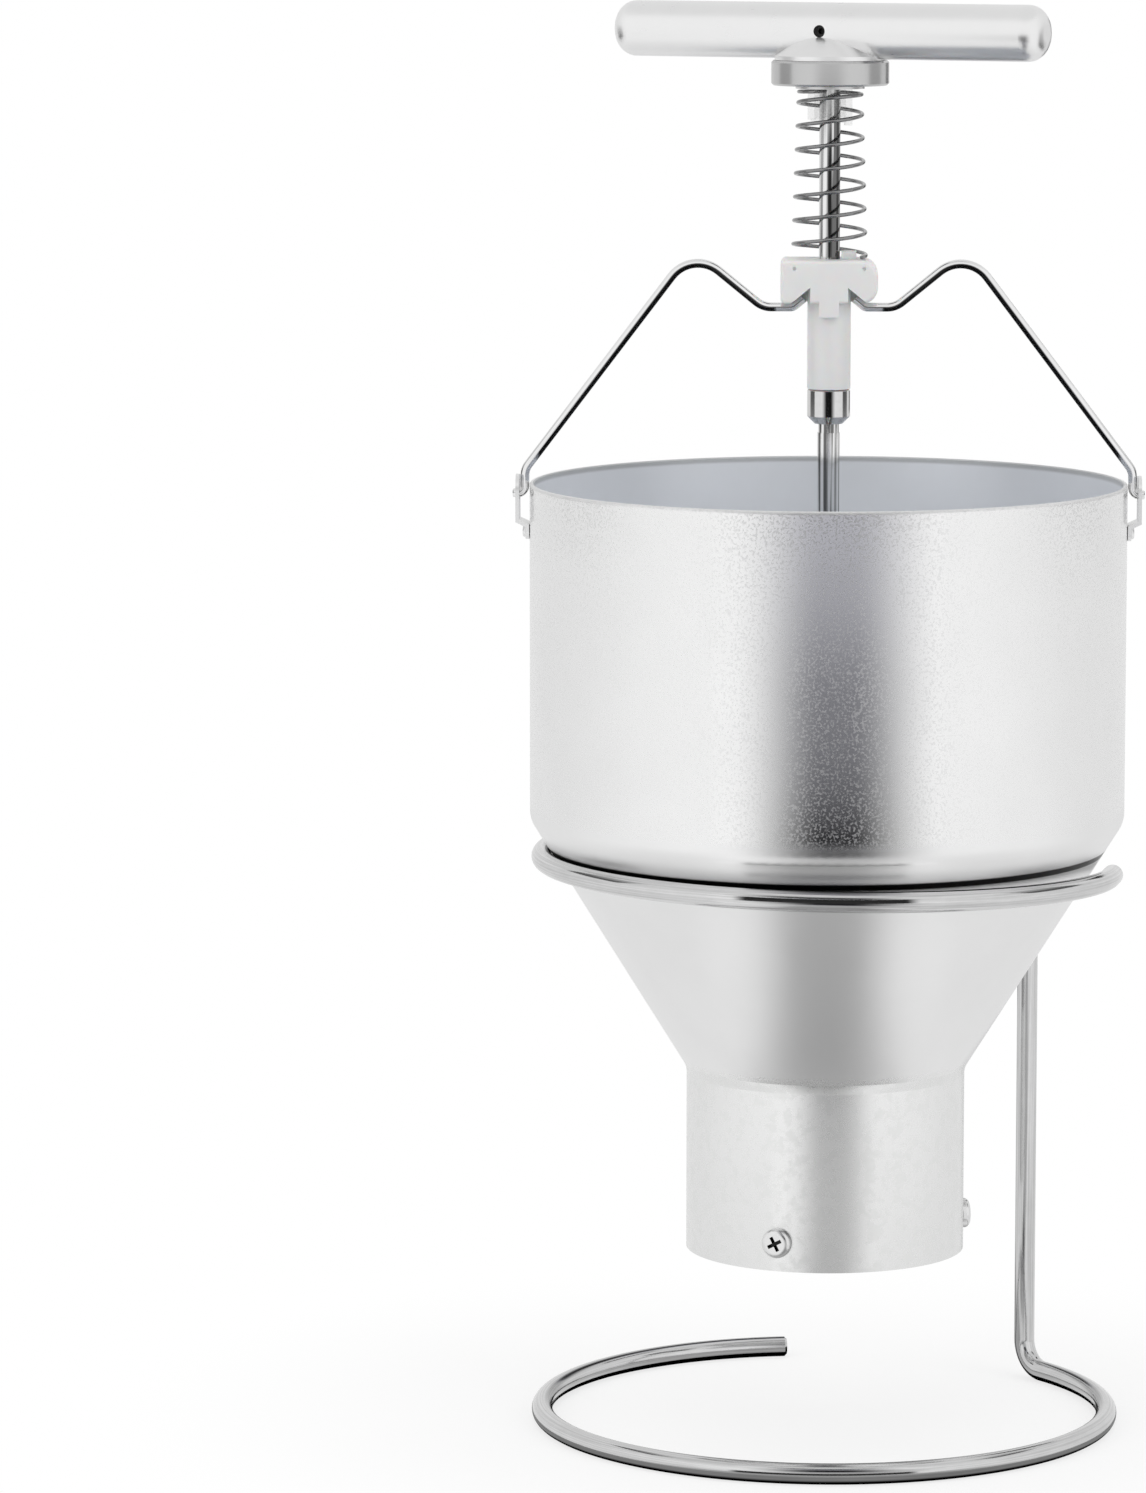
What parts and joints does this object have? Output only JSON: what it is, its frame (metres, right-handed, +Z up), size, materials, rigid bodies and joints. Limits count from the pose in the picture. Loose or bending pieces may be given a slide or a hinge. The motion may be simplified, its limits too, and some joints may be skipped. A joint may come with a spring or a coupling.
{
  "type": "donut batter dispenser",
  "caption": "Hand plunger dispenser for ring donuts: spun hopper on a bent rod stand, spring-return plunger with piston and cutter disc, T handle and thickness dial.",
  "frame": {"origin": "centre of the base ring, on the surface that the stand stands on", "axes": "+Z up along the plunger's axis, +X to the right of the front view, towards the right ear, +Y to the back"},
  "size_m": [0.2116, 0.2, 0.4799],
  "materials": {
    "stand_steel": "satin, drawn along the rod",
    "hopper_aluminium": "satin spun aluminium with a fine grain",
    "barrel_aluminium": "turned aluminium",
    "seal_rubber": "smooth food rubber",
    "screw_steel": "bright steel",
    "ear_steel": "satin pressed steel",
    "wire_steel": "bright drawn wire",
    "nylon": "milky white nylon",
    "spring_steel": "bright spring wire",
    "polished_steel": "polished steel",
    "cutter_steel": "turned steel",
    "handle_aluminium": "smooth satin aluminium",
    "dial_aluminium": "turned aluminium",
    "stop_plastic": "clear milky plastic"
  },
  "bodies": {
    "stand": {"stand_rod": "stand_steel"},
    "hopper": {"hopper_shell": "hopper_aluminium", "outlet_barrel": "barrel_aluminium", "barrel_seal": "seal_rubber", "outlet_screws": "screw_steel", "ear_left": "ear_steel", "ear_right": "ear_steel", "ear_rivets": "ear_steel", "bail_arm_left": "wire_steel", "bail_arm_right": "wire_steel", "guide_block": "nylon", "guide_sleeve": "nylon", "return_spring": "spring_steel"},
    "spring_seat": {"spring_washer": "polished_steel"},
    "plunger": {"handle_bar": "handle_aluminium", "handle_set_screw": "screw_steel", "upper_shaft": "polished_steel", "coupling_ferrule": "polished_steel", "lower_rod": "polished_steel", "piston": "nylon", "piston_nut": "polished_steel", "spacer_tube": "polished_steel", "cutter_disc": "cutter_steel", "cutter_screw": "screw_steel"},
    "dial": {"thickness_dial": "dial_aluminium", "stop_sleeve": "stop_plastic"}
  },
  "joints": [
    {"name": "hopper_lift", "type": "slide", "parent": "stand", "child": "hopper", "axis": [0, 0, 1], "range_m": [0, 0.15]},
    {"name": "plunger_stroke", "type": "slide", "parent": "hopper", "child": "spring_seat", "axis": [0, 0, 1], "range_m": [-0.0415, 0], "stiffness_N_per_m": 700, "springref_m": 0.016, "deforming": ["return_spring"]},
    {"name": "plunger_turn", "type": "hinge", "parent": "spring_seat", "child": "plunger", "pos_m": [0, 0, 0.4525], "axis": [0, 0, 1], "continuous": true},
    {"name": "dial_turn", "type": "hinge", "parent": "plunger", "child": "dial", "pos_m": [0, 0, 0.4568], "axis": [0, 0, 1], "continuous": true}
  ]
}
